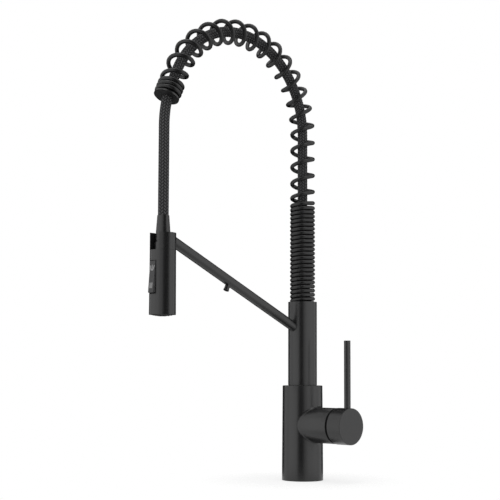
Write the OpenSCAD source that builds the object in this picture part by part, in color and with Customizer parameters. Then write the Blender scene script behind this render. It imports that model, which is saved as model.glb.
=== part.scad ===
// Pre rinse faucet: a deck-mounted mixer with a coil spring arch and a docked spray head.
// Millimetres. The origin is the centre of the base on the deck, +Z is up,
// the spout reaches towards -Y and the handle stands out towards +X.

/* [Base] */
// Diameter of the base at the deck
base_d = 52; // [51:0.5:58]
// Diameter of the base at its top edge
base_top_d = 50.5; // [49:0.5:51]
// Height of the base
base_h = 118.6; // [114:0.1:140]
// Bevel round the base's top edge
base_bevel = 0.8; // [0.4:0.1:1.5]
// Wall of the base shell at its top
base_wall = 2.95; // [2:0.05:3.5]
// Thickness of the shell's closed top
base_roof = 3; // [2:0.1:5]
// Diameter of the threaded socket for the mounting shank
shank_d = 32.4; // [28:0.1:34]
// Height of the mounting ring
ring_h = 14; // [8:0.5:16]
// Width of the rubber gasket under the base
gasket_w = 2.4; // [1.5:0.1:3]
// Thickness of the rubber gasket
gasket_t = 1.6; // [1:0.1:3]
// Diameter of each supply hose thread
inlet_d = 9; // [8:0.1:10]
// Depth of each supply hose thread
inlet_depth = 12; // [8:0.5:16]
// Distance from one supply thread to the other
inlet_pitch = 16; // [14:0.5:18]

/* [Valve] */
// Distance from the base's top down to the handle's axis
valve_drop = 49.2; // [46:0.1:52]
// Diameter of the side housing
housing_d = 44.2; // [43:0.2:48]
// Wall of the side housing
housing_wall = 3.35; // [2:0.05:4]
// Reach of the side housing from the base's axis
housing_end = 58; // [55:0.5:66]
// Wall of the cartridge sleeve
sleeve_wall = 1.6; // [1:0.1:2]
// Distance from the base's axis to the cartridge seat
seat_x = 12; // [9:0.5:14]
// Thickness of the cartridge's rubber gasket
port_gasket_t = 1.5; // [1:0.1:2.5]
// Thickness of the cartridge's base
cartridge_base_t = 6; // [4:0.5:8]
// Thickness of each ceramic disc
disc_t = 4; // [3:0.5:5]
// Diameter of the moving ceramic disc
disc_d = 21; // [18:0.5:22]
// Length of the nut that holds the cartridge
nut_len = 6; // [4:0.5:8]
// Diameter of the waterways
port_d = 5.6; // [4:0.2:6]

/* [Handle] */
// Diameter of the handle's hub
hub_d = 44.8; // [44:0.2:50]
// Length of the hub
hub_len = 20.4; // [19:0.1:28]
// Gap between the housing and the hub
hub_gap = 3.5; // [3.2:0.1:6]
// Bevel round the hub's outer face
hub_bevel = 0.4; // [0.2:0.1:1]
// Wall of the hub
hub_wall = 2.3; // [1.5:0.1:3]
// Diameter of the lever rod
lever_d = 8; // [6:0.1:9]
// Length of the lever rod above the hub
lever_len = 82.5; // [60:0.5:110]
// Distance from the hub's outer face to the lever's axis
lever_inset = 6.4; // [5:0.1:7]
// Diameter of the cartridge's stem
stem_d = 8; // [6:0.2:9]
// Radius of the dome behind the hub
dome_r = 22.5; // [21.5:0.1:22.5]
// Angle by which the handle lifts
lift_angle = 7.5; // [5:0.5:7.5]

/* [Riser] */
// Diameter of the riser
riser_d = 36.5; // [35:0.5:40]
// Wall of the riser tube
riser_wall = 1.6; // [1:0.1:2]
// Length of the riser tube
riser_len = 105.25; // [95:0.05:140]
// Diameter of the swivel spigot
spigot_d = 30; // [26:0.5:31]
// Depth of the spigot in the base
spigot_depth = 25; // [22:0.5:26]
// Thickness of the glide ring under the riser
glide_t = 0.7; // [0.5:0.1:1.5]
// Angle by which the spout swivels to either side
swivel_angle = 90; // [45:5:120]
// Height of the block that the arm is screwed into
anchor_h = 26; // [22:1:30]

/* [Arch] */
// Distance from the riser's axis to the spray head's axis
reach = 232; // [215:0.5:260]
// Height over the riser's top at which the arch starts to bend
arch_rise = 214.7; // [200:0.1:260]
// Lean of the hose where it leaves the arch
arch_lean = 24.5; // [18:0.5:26]
// Length of straight hose between the two bends
lean_run = 16; // [8:0.5:18]
// Bend radius of the hose below the arch
drop_r = 125; // [110:5:180]
// Diameter of the hose
hose_d = 12.45; // [11.6:0.05:12.6]
// Thickness of the hose's braid
braid_t = 1.2; // [0.8:0.1:1.5]
// Thickness of the hose's inner tube
liner_t = 0.85; // [0.6:0.05:1]

/* [Spring] */
// Diameter of the spring's wire
wire_d = 4.8; // [3.6:0.1:4.8]
// Diameter of the coil, measured at the wire's centre
coil_d = 27.3; // [27:0.1:27.6]
// Pitch of the close coils above the riser
close_pitch = 5.3; // [5.25:0.05:5.8]
// Number of close coils
close_turns = 23.8; // [18:0.1:26]
// Number of open coils
open_turns = 20.2; // [16:0.1:21]
// Pitch of the coils round the end bush
collar_pitch = 5.3; // [5.25:0.05:5.6]
// Number of coils round the end bush
collar_turns = 2.7; // [2.2:0.1:4.7]
// Length of straight coil past the arch's bend
collar_run = 31.5; // [24:0.5:36]
// Angle at which the wire starts, from +X towards +Y
wire_start = 280.6; // [0:0.1:360]
// Diameter of the guide tube in the close coils
guide_d = 19.2; // [17:0.1:19.2]
// Length of the guide tube
guide_len = 136; // [100:1:138]

/* [Arm and dock] */
// Diameter of the arm
arm_d = 12.2; // [10:0.1:14]
// Wall of the arm's tube
arm_wall = 1.55; // [1:0.05:2]
// Distance from the riser's top down to where the arm's axis meets the riser's axis
arm_drop = 39.6; // [34:0.1:44]
// Height of the arm's axis over the dock's underside, at its outer face
arm_entry = 11.35; // [9:0.05:13]
// Distance of the lock screw from the riser's axis
lock_at = 128; // [60:1:180]
// Diameter of the lock screw's head
lock_head_d = 6.9; // [6:0.1:9]
// Length of the lock screw's head
lock_head_len = 6.4; // [4:0.1:9]
// Outer diameter of the dock
dock_d = 30.2; // [29:0.1:33]
// Height of the dock
dock_h = 19.75; // [16:0.05:24]
// Width of the dock's slot
slot_w = 16; // [13.6:0.1:17]
// Wall of the dock's metal ring
dock_wall = 3.7; // [3:0.1:4]

/* [Spray head] */
// Height of the spray head's top over the riser's top
head_rise = 49.4; // [42:0.1:60]
// Length of the spray head
head_len = 73.8; // [72:0.1:90]
// Diameter of the spray head at its top
head_top_d = 30.1; // [29.6:0.1:32]
// Diameter of the spray head at its face
head_face_d = 30.8; // [30.2:0.1:34]
// Wall of the spray head's shell
head_wall = 2.05; // [1.5:0.05:2.2]
// Diameter of the neck that sits in the dock
neck_d = 19; // [18.6:0.1:19.4]
// Height of the neck above the head
neck_h = 9.2; // [7:0.1:12]
// Height of the groove between the neck and the cone
groove_h = 2; // [1:0.1:3]
// Diameter in the groove
groove_d = 16.6; // [15.6:0.1:17.4]
// Lower diameter of the hose cone
cone_d = 18; // [17.4:0.1:18.4]
// Upper diameter of the hose cone
cone_top_d = 13.8; // [13.6:0.1:14.2]
// Height of the hose cone
cone_h = 29; // [26:0.5:40]
// Depth of the dome of the spray face
face_dome = 1.7; // [0.8:0.1:2.5]
// Diameter of the aerator
aerator_d = 9.2; // [8:0.1:11]
// Number of nozzles in the outer ring
nozzles = 16; // [10:1:18]
// Travel of the spray head out of the dock
pull_travel = 150; // [80:5:150]

/* [Rocker] */
// Height of the rocker's pivot above the spray face
rocker_rise = 42.4; // [40:0.1:46]
// Length of the rocker
rocker_len = 36.8; // [30:0.2:40]
// Width of the rocker
rocker_w = 9.7; // [8:0.1:11]
// Thickness of the rocker's plate
rocker_t = 3.4; // [2.5:0.1:4]
// Tilt of the rocker to either side of level
rocker_tilt = 4.4; // [3:0.1:5]
// Distance from the pivot's axis out to the rocker's face
rocker_out = 5; // [4.8:0.1:5.5]
// Width of the frame round the rocker
frame_w = 0.8; // [0.6:0.1:1]

/* [Clearances] */
// Radial clearance of a fixed fit
fit = 0.05; // [0.03:0.01:0.08]
// Radial clearance of a running fit
run_gap = 0.08; // [0.06:0.01:0.1]
// Clearance round a loose moving piece
slip = 0.35; // [0.3:0.05:0.5]
// Gap between the spray head and the dock
dock_gap = 0.15; // [0.1:0.05:0.4]

/* [Hidden] */
$fn = 96;
over = 1;

// Base, from the deck up
base_r = base_d / 2;
base_top_r = base_top_d / 2;
core_r = base_top_r - base_wall;
shank_r = shank_d / 2;
inlet_y = inlet_pitch / 2;
port_r = port_d / 2;
valve_z = base_h - valve_drop;
roof_z = base_h - base_roof;
spigot_r = spigot_d / 2;
spigot_z = base_h - spigot_depth;
spigot_sump = 1.5;
well_r = spigot_r + run_gap;

// Cartridge, stacked out along +X from its seat
housing_r = housing_d / 2;
bore_r = housing_r - housing_wall;
sleeve_r = bore_r - fit;
cartridge_r = sleeve_r - sleeve_wall - fit;
outlet_rise = 9;
inlet_drop = 4;
dome_skirt = 2;
dome_wall = 3.5;
sleeve_end = housing_end - dome_skirt;
case_x = seat_x + port_gasket_t + cartridge_base_t;
case_end = sleeve_end - nut_len;
case_wall = 2.4;
case_lip = 4;
carrier_bore_r = cartridge_r - case_wall;
carrier_r = carrier_bore_r - run_gap;
moving_x = case_x + disc_t + run_gap;
moving_end = moving_x + disc_t + over;
carrier_x = moving_x + 2;
carrier_lip_r = 11.5;
pivot_x = case_end;
pin_r = 1.5;
stem_r = stem_d / 2;
stem_tail_r = 2.6;
ball_r = 3;
ball_x = moving_x + disc_t;
ball_arm = pivot_x - ball_x;
lift_side = ball_arm * sin(lift_angle);

// Hub and lever
hub_r = hub_d / 2;
hub_x = housing_end + hub_gap;
hub_end = hub_x + hub_len;
hub_face_t = 3;
lever_r = lever_d / 2;
lever_x = hub_end - lever_inset;
boss_r = 9.5;
boss_x = lever_x - lever_r - 0.6;
dome_clear_r = dome_r + slip;
dome_hole_r = max(stem_r + 4.8, slip
  + dome_clear_r * sin(acos(min(1, (boss_x - pivot_x) / dome_clear_r)) + lift_angle));
grub_r = 2.5;
grub_len = 7;
plug_r = 3.2;
stem_end = hub_end - hub_face_t - 1.5;
lever_seat = valve_z + stem_r + 0.8;

// Riser
riser_r = riser_d / 2;
riser_bore_r = riser_r - riser_wall;
riser_z = base_h + glide_t + fit;
riser_top = riser_z + riser_len;
flange_len = 18;
spigot_top = riser_z + flange_len;
stop_r = 1.8;
stop_z = spigot_z + spigot_depth / 2;
stop_depth = 2.1;
ring_rise = 5;
o_ring_t = 2.5;
nipple_z = spigot_top + 5;
barb_r = hose_d / 2 - braid_t - liner_t - 2 * fit;
nipple_bore = 10;
barb_len = 16;
ferrule_t = 0.9;

// Hose path: up the riser, round the arch, straight along the lean, then down to the head
arch_z = riser_top + arch_rise;
hose_r = hose_d / 2;
hose_pass_r = hose_r + 0.5;
lap = 0.5;
lap_step = 0.02;
function drop_turn(run) = run / drop_r * 180 / PI;
arch_r = (reach - lean_run * sin(arch_lean) - drop_r * (1 - cos(arch_lean)))
       / (1 + cos(arch_lean));
arch_turn = 180 - arch_lean;
arch_len = arch_r * arch_turn * PI / 180;
lean_y = arch_r * (1 + cos(arch_lean));
lean_z = arch_z + arch_r * sin(arch_lean);
drop_y = reach - drop_r;
drop_z = lean_z - lean_run * cos(arch_lean) - drop_r * sin(arch_lean);
split_lean = 17;

// Arm and its anchor block in the riser
arm_root_z = riser_top - arm_drop;
anchor_z = arm_root_z - 6;
anchor_top = anchor_z + anchor_h;
head_top = riser_top + head_rise;
dock_z = head_top + dock_gap;
dock_r = dock_d / 2;
dock_bore_r = dock_r - dock_wall;
liner_r = neck_d / 2 + 0.4;
arm_slope = atan((dock_z + arm_entry - arm_root_z) / (reach - dock_r));
arm_r = arm_d / 2;
arm_core_r = arm_r - arm_wall - fit;
arm_core_start = (hose_pass_r + 1 + arm_core_r * sin(arm_slope)) / cos(arm_slope);
arm_core_cope = dock_bore_r + 1;
lock_r = 2.4;

// Spring
wire_r = wire_d / 2;
coil_r = coil_d / 2;
spring_foot = 3;
spring_z = riser_top - spring_foot;
seat_top = spring_z - wire_r - 0.5;
guide_r = guide_d / 2;
guide_wall = 1.5;
open_ramp = 1.8;
collar_ramp = 0.5;
rings = 8;
wire_sides = 6;
turns = close_turns + open_turns + collar_turns;
close_len = close_turns * close_pitch;
bend_at = arch_z - spring_z;
coil_len = bend_at + arch_len + collar_run;
open_len = coil_len - close_len - collar_turns * collar_pitch;
open_pitch = (open_len - (open_ramp * close_pitch + collar_ramp * collar_pitch) / 2)
           / (open_turns - (open_ramp + collar_ramp) / 2);
bush_r = guide_r + 0.1;
bush_flange_r = 15.2;
bush_flange_t = 2;
bush_bore_r = hose_r + 0.6;
lug_w = 3.6;
lug_len = 3;
lug_gap = 0.2;

// Spray head, measured down from its top
neck_r = neck_d / 2;
neck_z = head_top + neck_h;
groove_r = groove_d / 2;
cone_z = neck_z + groove_h;
cone_top = cone_z + cone_h;
face_z = head_top - head_len;
head_top_r = head_top_d / 2;
head_face_r = head_face_d / 2;
cavity_r = head_top_r - head_wall;
insert_r = cavity_r - fit;
head_roof = 2.8;
inlet_flange_h = 8;
inlet_z = head_top - head_roof - inlet_flange_h;
nipple_stem_r = 5;
shoulder_r = 6.5;
shoulder_h = 3;
hose_end_z = cone_z + 1;
ferrule_len = 12;
trim_h = 2;
plate_z = face_z + trim_h;
plate_top = plate_z + 5.8;
mat_t = 1.5;
nozzle_r = 0.75;
outer_ring_r = 10.6;
inner_ring_r = 7.4;
inner_nozzles = 10;
aerator_r = aerator_d / 2;
dome_ball_r = (insert_r * insert_r + face_dome * face_dome) / (2 * face_dome);
nozzle_rise = 0.25;
chamber_h = 13;
body_z = plate_top + chamber_h;
body_top = inlet_z;
valve_cup_r = 5;
valve_cup_h = 8.5;
washer_t = 1.4;

// Rocker and the spool that it shifts
rocker_z = face_z + rocker_rise;
frame_in_w = rocker_w / 2 + slip;
frame_in_h = rocker_len / 2 + 0.6;
rocker_y = head_top_r + 1.5 - rocker_out;
rocker_pin_r = 1;
rocker_boss_r = 2.2;
frame_floor_y = rocker_y - 3;
spool_y = rocker_y - 8.4;
spool_r = 2.6;
spool_core_r = 1.3;
spool_len = 17;
spool_room = 1.3;
tip_r = 0.8;
tip_arm = rocker_y - spool_y - spool_core_r - 0.25 - tip_r;

// ---- helpers ----

// Upright cylinder from z0 to z1
module upright(r, z0, z1) {
  translate([0, 0, z0]) cylinder(r = r, h = z1 - z0);
}

// Upright tube from z0 to z1
module pipe(r, bore, z0, z1) {
  difference() {
    upright(r, z0, z1);
    upright(bore, z0 - over, z1 + over);
  }
}

// Cylinder along the handle's axis from x0 to x1
module sideways(r, x0, x1) {
  translate([x0, 0, valve_z]) rotate([0, 90, 0]) cylinder(r = r, h = x1 - x0);
}

// Tube along the handle's axis from x0 to x1
module side_pipe(r, bore, x0, x1) {
  difference() {
    sideways(r, x0, x1);
    sideways(bore, x0 - over, x1 + over);
  }
}

// The cartridge's three ports: two inlets below the axis and the outlet above it
module ports(r, x0, x1) {
  for (y = [-inlet_y, inlet_y])
    translate([x0, y, valve_z - inlet_drop]) rotate([0, 90, 0]) cylinder(r = r, h = x1 - x0);
  translate([x0, 0, valve_z + outlet_rise]) rotate([0, 90, 0]) cylinder(r = r, h = x1 - x0);
}

// Places children on the spray head's axis
module at_head() {
  translate([0, -reach, 0]) children();
}

// Turns a drawing of the spout's side view, with x forwards and y up, upright
module spout_plane() {
  rotate([90, 0, -90]) children();
}

// Points children's +Z along the arm, starting on the riser's axis
module along_arm(start = 0) {
  translate([0, 0, arm_root_z]) rotate([90 - arm_slope, 0, 0]) translate([0, 0, start])
    children();
}

// An O-ring round the Z axis
module o_ring(r, section_r, z) {
  translate([0, 0, z]) rotate_extrude() translate([r, 0]) circle(r = section_r, $fn = 32);
}

// ---- base ----

module base_gasket() {
  color("dimgray") pipe(shank_r + 2 + gasket_w, shank_r + 2, 0, gasket_t);
}

module mounting_ring() {
  color("goldenrod") difference() {
    pipe(core_r - fit, shank_r, 0, ring_h);
    translate([0, 0, -over]) difference() {
      cylinder(r = shank_r + 2 + gasket_w, h = gasket_t + over);
      cylinder(r = shank_r + 2, h = gasket_t + over);
    }
  }
}

// The base's outer cone, up to its bevel
module base_cone() {
  cylinder(r1 = base_r, r2 = base_top_r, h = base_h - base_bevel);
}

module body_shell() {
  color("dimgray") difference() {
    union() {
      base_cone();
      translate([0, 0, base_h - base_bevel])
        cylinder(r1 = base_top_r, r2 = base_top_r - base_bevel, h = base_bevel);
    }
    upright(core_r, -over, roof_z);
    upright(spigot_r + 0.4, roof_z - over, base_h + over);
    sideways(bore_r, 0, base_r + over);
    translate([0, 0, stop_z]) rotate([-90, 0, 0]) cylinder(r = stop_r + fit, h = base_r + over);
  }
}

// The side tube that holds the cartridge, coped to the base and brazed on
module valve_housing() {
  color("dimgray") difference() {
    sideways(housing_r, 0, housing_end);
    base_cone();
    sideways(bore_r, -over, housing_end + over);
  }
}

module waterway_core() {
  color("goldenrod") difference() {
    upright(core_r - fit, ring_h, roof_z);
    upright(well_r, spigot_z - spigot_sump, roof_z + over);
    sideways(bore_r, seat_x, base_r);
    for (y = [-inlet_y, inlet_y]) {
      translate([0, y, ring_h - over]) cylinder(r = inlet_d / 2, h = inlet_depth + over);
      translate([0, y, ring_h]) cylinder(r = port_r, h = valve_z - inlet_drop - ring_h);
    }
    ports(port_r, 0, seat_x + over);
    upright(port_r, valve_z + outlet_rise, spigot_z);
    translate([0, 0, stop_z]) rotate([-90, 0, 0]) cylinder(r = stop_r + fit, h = base_r);
  }
}

module cartridge_sleeve() {
  color("goldenrod") side_pipe(sleeve_r, sleeve_r - sleeve_wall, seat_x, sleeve_end);
}

module port_gasket() {
  color("black") difference() {
    sideways(cartridge_r, seat_x, seat_x + port_gasket_t);
    ports(port_r, seat_x - over, case_x);
  }
}

module cartridge_base() {
  color("white") difference() {
    sideways(cartridge_r, seat_x + port_gasket_t, case_x);
    ports(port_r, seat_x, case_x + over);
  }
}

module fixed_disc() {
  color("lightgray") difference() {
    sideways(carrier_bore_r - fit, case_x, case_x + disc_t);
    ports(port_r, case_x - over, case_x + disc_t + over);
  }
}

module cartridge_case() {
  color("whitesmoke") difference() {
    sideways(cartridge_r, case_x, case_end);
    sideways(carrier_bore_r, case_x - over, case_end - case_lip);
    sideways(carrier_lip_r, case_x, case_end + over);
  }
}

module cartridge_nut() {
  color("goldenrod") side_pipe(cartridge_r, carrier_lip_r + 0.7, case_end, sleeve_end);
}

// A hollow cap whose ball is centred on the stem's pivot, so the hub tips round it freely
module trim_dome() {
  skirt_t = 2.8;
  color("dimgray") translate([pivot_x, 0, valve_z]) rotate([0, 90, 0]) rotate_extrude() {
    intersection() {
      difference() {
        circle(r = dome_r);
        circle(r = dome_r - dome_wall);
      }
      translate([dome_hole_r, housing_end - pivot_x]) square(dome_r);
    }
    translate([sleeve_r - skirt_t, sleeve_end - pivot_x]) square([skirt_t, dome_skirt]);
  }
}

module glide_ring() {
  color("gray") pipe(riser_r - 0.4, spigot_r + 0.3, base_h, base_h + glide_t);
}

// Its tip rides in the spigot's groove, whose ends stop the swivel
module swivel_stop_screw() {
  color("gray") translate([0, 0, stop_z]) rotate([-90, 0, 0])
    translate([0, 0, spigot_r - stop_depth + 0.3])
      cylinder(r = stop_r, h = base_top_r - 0.6 - spigot_r + stop_depth - 0.3);
}

// ---- cartridge: what turns, tips and slides ----

module stem_carrier() {
  neck_r = carrier_lip_r - run_gap;
  color("whitesmoke") difference() {
    union() {
      sideways(carrier_r, carrier_x, case_end - case_lip - run_gap);
      sideways(neck_r, carrier_x, sleeve_end - 2);
    }
    // room for the moving disc to slide as the stem tips
    for (z = [-1, 1]) translate([0, 0, z * (lift_side / 2 + fit)])
      sideways(disc_d / 2 + run_gap, carrier_x - over, moving_end + run_gap);
    translate([carrier_x - over, -disc_d / 2 - run_gap, valve_z - lift_side / 2])
      cube([moving_end + run_gap - carrier_x + over, disc_d + 2 * run_gap, lift_side]);
    // slot for the stem
    translate([carrier_x, -stem_tail_r - slip, valve_z - stem_tail_r - lift_side - slip])
      cube([case_end, 2 * (stem_tail_r + slip), 2 * (stem_tail_r + lift_side + slip)]);
    translate([pivot_x - 8, -stem_r - run_gap, valve_z - stem_r - 1.6])
      cube([case_end, 2 * (stem_r + run_gap), 2 * (stem_r + 1.6)]);
    translate([pivot_x, -carrier_r, valve_z]) rotate([-90, 0, 0])
      cylinder(r = pin_r + fit, h = 2 * carrier_r);
  }
}

module stem_pin() {
  half = carrier_lip_r - 1.2;
  color("silver") translate([pivot_x, -half, valve_z]) rotate([-90, 0, 0])
    cylinder(r = pin_r, h = 2 * half);
}

module moving_disc() {
  color("white") difference() {
    translate([0, 0, -lift_side / 2]) sideways(disc_d / 2, moving_x, moving_end);
    sideways(ball_r + run_gap, ball_x - ball_r - run_gap, moving_end + over);
  }
}

module cartridge_stem() {
  color("silver") difference() {
    union() {
      translate([ball_x, 0, valve_z]) sphere(r = ball_r);
      sideways(stem_tail_r, ball_x, pivot_x - 5);
      sideways(stem_r, pivot_x - 5.5, stem_end);
    }
    translate([pivot_x, -carrier_r, valve_z]) rotate([-90, 0, 0])
      cylinder(r = pin_r + run_gap, h = 2 * carrier_r);
  }
}

// ---- handle ----

module handle_hub() {
  color("dimgray") difference() {
    union() {
      difference() {
        union() {
          sideways(hub_r, hub_x, hub_end - hub_bevel);
          translate([hub_end - hub_bevel, 0, valve_z]) rotate([0, 90, 0])
            cylinder(r1 = hub_r, r2 = hub_r - hub_bevel, h = hub_bevel);
        }
        sideways(hub_r - hub_wall, hub_x - over, hub_end - hub_face_t);
      }
      sideways(boss_r, boss_x, hub_end - hub_face_t + fit);
    }
    sideways(stem_r + fit, boss_x - over, stem_end);
    translate([lever_x, 0, lever_seat]) cylinder(r = lever_r + fit, h = hub_r);
    translate([lever_x, 0, valve_z]) rotate([180, 0, 0]) {
      cylinder(r = grub_r + fit, h = boss_r + over);
      translate([0, 0, hub_r - hub_wall - over])
        cylinder(r = plug_r + fit, h = hub_wall + 2 * over);
    }
  }
}

module lever_rod() {
  top = valve_z + hub_r + lever_len;
  tip = 0.3;
  color("dimgray") translate([lever_x, 0, 0]) {
    upright(lever_r, lever_seat, top - tip);
    translate([0, 0, top - tip]) cylinder(r1 = lever_r, r2 = lever_r - tip, h = tip);
  }
}

module hub_set_screw() {
  color("gray") translate([lever_x, 0, valve_z - stem_r - fit]) rotate([180, 0, 0])
    difference() {
      cylinder(r = grub_r, h = grub_len);
      translate([0, 0, grub_len - 2]) cylinder(r = 1.45, h = 2 + over, $fn = 6);
    }
}

module hub_screw_plug() {
  drop = 0.7;
  color("dimgray") translate([lever_x, 0, valve_z]) rotate([180, 0, 0])
    translate([0, 0, hub_r - hub_wall]) cylinder(r = plug_r, h = hub_wall - drop);
}

// ---- riser ----

module riser_tube() {
  color("dimgray") difference() {
    pipe(riser_r, riser_bore_r, riser_z, riser_top);
    along_arm(arm_core_start) cylinder(r = arm_core_r + fit, h = riser_r * 1.5);
  }
}

module swivel_spigot() {
  groove_spread = swivel_angle + asin(stop_r / (spigot_r - stop_depth)) + 1;
  color("goldenrod") difference() {
    union() {
      upright(spigot_r, spigot_z, riser_z);
      upright(riser_bore_r - fit, riser_z, spigot_top);
    }
    upright(port_r + 1, spigot_z - over, spigot_top + over);
    upright(nipple_thread_r(), spigot_top - nipple_bore, spigot_top + over);
    for (z = [spigot_z + ring_rise, base_h - base_roof - ring_rise])
      translate([0, 0, z - o_ring_t / 2 - 0.1]) difference() {
        cylinder(r = spigot_r + over, h = o_ring_t + 0.2);
        cylinder(r = spigot_r - o_ring_t, h = o_ring_t + 0.2);
      }
    translate([0, 0, stop_z - stop_r - 0.2]) rotate(90 - groove_spread)
      rotate_extrude(angle = 2 * groove_spread)
        translate([spigot_r - stop_depth, 0]) square([stop_depth + over, 2 * stop_r + 0.4]);
  }
}

module swivel_o_rings() {
  section_r = o_ring_t / 2;
  color("black") for (z = [spigot_z + ring_rise, base_h - base_roof - ring_rise])
    o_ring(spigot_r - section_r, section_r, z);
}

// Radius of the thread that joins the lower nipple to the spigot
function nipple_thread_r() = 5.5;

module lower_nipple() {
  color("goldenrod") difference() {
    union() {
      upright(nipple_thread_r() - fit, spigot_top - nipple_bore + 1, spigot_top + over);
      translate([0, 0, spigot_top]) cylinder(r = 8, h = nipple_z - spigot_top, $fn = 6);
      upright(barb_r, nipple_z - over, nipple_z + barb_len);
    }
    upright(barb_r - 1, spigot_top - nipple_bore, nipple_z + barb_len + over);
  }
}

module lower_ferrule() {
  color("silver") pipe(hose_r + fit + ferrule_t, hose_r + fit, nipple_z, nipple_z + barb_len);
}

module arm_anchor() {
  color("goldenrod") difference() {
    pipe(riser_bore_r - fit, hose_pass_r, anchor_z, anchor_top);
    along_arm(arm_core_start) cylinder(r = arm_core_r + fit, h = riser_r * 1.5);
  }
}

// A stop for the wire's straight end, which is one wire thickness long: a block whose near
// face stands square to the wire. Side is 1 at the coil's foot and -1 at its end
module wire_lug(angle, pitch, side) {
  slope = atan(pitch / (PI * coil_d));
  near = wire_d + lug_gap;
  intersection() {
    rotate(angle) translate([coil_r, 0, 0]) rotate([slope, 0, 0])
      translate([-lug_w / 2, side > 0 ? -near - lug_len : near, -wire_r - 0.8])
        cube([lug_w, lug_len, wire_d + 0.2]);
    upright(riser_bore_r - fit, side > 0 ? -wire_d : -wire_r, wire_d);
  }
}

module spring_seat() {
  color("dimgray") {
    difference() {
      union() {
        upright(riser_bore_r - fit, anchor_top, seat_top);
        translate([0, 0, spring_z]) wire_lug(wire_start, close_pitch, 1);
      }
      upright(guide_r + fit, anchor_top - over, riser_top);
    }
  }
}

module guide_tube() {
  color("silver") pipe(guide_r, guide_r - guide_wall, anchor_top, anchor_top + guide_len);
}

// ---- coil spring ----

// Length along the coil's axis after t turns: close coils, a ramp, open coils, a ramp, the collar
function ramped(t, from, to, ramp) = from * t + (to - from) * t * t / (2 * ramp);
function coil_s(t) =
  let (u = t - close_turns, v = open_turns - u, open_end = coil_len - collar_turns * collar_pitch)
  u < 0 ? t * close_pitch :
  u < open_ramp ? close_len + ramped(u, close_pitch, open_pitch, open_ramp) :
  v > collar_ramp ? close_len + ramped(open_ramp, close_pitch, open_pitch, open_ramp)
                    + (u - open_ramp) * open_pitch :
  v > 0 ? open_end - ramped(v, collar_pitch, open_pitch, collar_ramp) :
  open_end - v * collar_pitch;

// Point of the coil's axis at length s, as [x, y, z], and the angle turned from upright there
function axis_turn(s) = min(max(s - bend_at, 0) / arch_r * 180 / PI, arch_turn);
function axis_point(s) =
  let (a = axis_turn(s), past = max(s - bend_at - arch_len, 0))
  [0, -arch_r * (1 - cos(a)) - past * sin(a),
   arch_z + min(s - bend_at, 0) + arch_r * sin(a) + past * cos(a)];

// Centre of the wire after t turns
function out_dir(t) =
  let (a = axis_turn(coil_s(t)), w = wire_start + 360 * t)
  [cos(w), sin(w) * cos(a), sin(w) * sin(a)];
function wire_point(t) = axis_point(coil_s(t)) + coil_r * out_dir(t);
function unit(v) = v / norm(v);
function wire_dir(t) =
  let (step = 0.01, t0 = max(t - step, 0), t1 = min(t + step, turns))
  unit(wire_point(t1) - wire_point(t0));

// One ring of the tube, square to the wire
function wire_ring(centre, along, out) =
  let (side = unit(cross(along, out)), up = cross(side, along))
  [for (k = [0:wire_sides - 1])
    centre + wire_r * (cos(360 * k / wire_sides) * up + sin(360 * k / wire_sides) * side)];

// The wire's straight ends run on for one wire diameter
wire_steps = round(turns * rings);
wire_path = [for (i = [0:wire_steps]) wire_point(i * turns / wire_steps)];
wire_rings = concat(
  [wire_ring(wire_point(0) - wire_d * wire_dir(0), wire_dir(0), out_dir(0))],
  [for (i = [0:wire_steps])
    let (t = i * turns / wire_steps) wire_ring(wire_point(t), wire_dir(t), out_dir(t))],
  [wire_ring(wire_point(turns) + wire_d * wire_dir(turns), wire_dir(turns), out_dir(turns))]);

// Least gap between one coil and the next, from the wire's own points
coil_gap = min([for (i = [0:wire_steps - rings / 2])
  for (j = [i + rings / 2:min(i + 2 * rings, wire_steps)])
    norm(wire_path[i] - wire_path[j])]) - wire_d;
echo(least_coil_gap = coil_gap);

module coil_spring() {
  n = wire_sides;
  last = len(wire_rings) - 1;
  points = [for (ring = wire_rings) each ring];
  sides = [for (i = [0:last - 1]) for (k = [0:n - 1])
    let (a = i * n + k, b = i * n + (k + 1) % n)
    each [[a, a + n, b], [b, a + n, b + n]]];
  caps = [for (k = [1:n - 2]) each [[0, k, k + 1], [last * n, last * n + k + 1, last * n + k]]];
  color("dimgray") polyhedron(points = points, faces = concat(sides, caps));
}

// Places children at the end of the coil, with +Z along its axis and out of the coil
module at_coil_end() {
  translate(axis_point(coil_len)) rotate([arch_turn, 0, 0]) children();
}

// Its bore tilts at the mouth, because the hose starts to bend down inside it
module spring_end_bush() {
  bush_len = (collar_turns + 0.6) * collar_pitch;
  flange_z = wire_r + 0.5;
  bend_z = lean_run - collar_run;
  mouth_len = flange_z + bush_flange_t - bend_z;
  mouth_turn = drop_turn(mouth_len);
  mouth_sag = mouth_len * mouth_len / (8 * drop_r);
  color("dimgray") at_coil_end() difference() {
    union() {
      upright(bush_r, -bush_len, flange_z);
      upright(bush_flange_r, flange_z, flange_z + bush_flange_t);
      wire_lug(wire_start + 360 * turns, collar_pitch, -1);
      rotate(wire_start + 360 * turns) translate([coil_r - lug_w / 2, wire_d + 2 * lug_gap, 0])
        cube([lug_w / 2, lug_len - 2 * lug_gap, flange_z + over]);
    }
    upright(bush_bore_r, -bush_len - over, bend_z + bush_bore_r * sin(mouth_turn / 2) + over);
    translate([0, 0, bend_z]) rotate([mouth_turn / 2, 0, 0])
      cylinder(r = bush_bore_r + mouth_sag, h = mouth_len + 2 * over);
  }
}

// ---- hose ----

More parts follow.
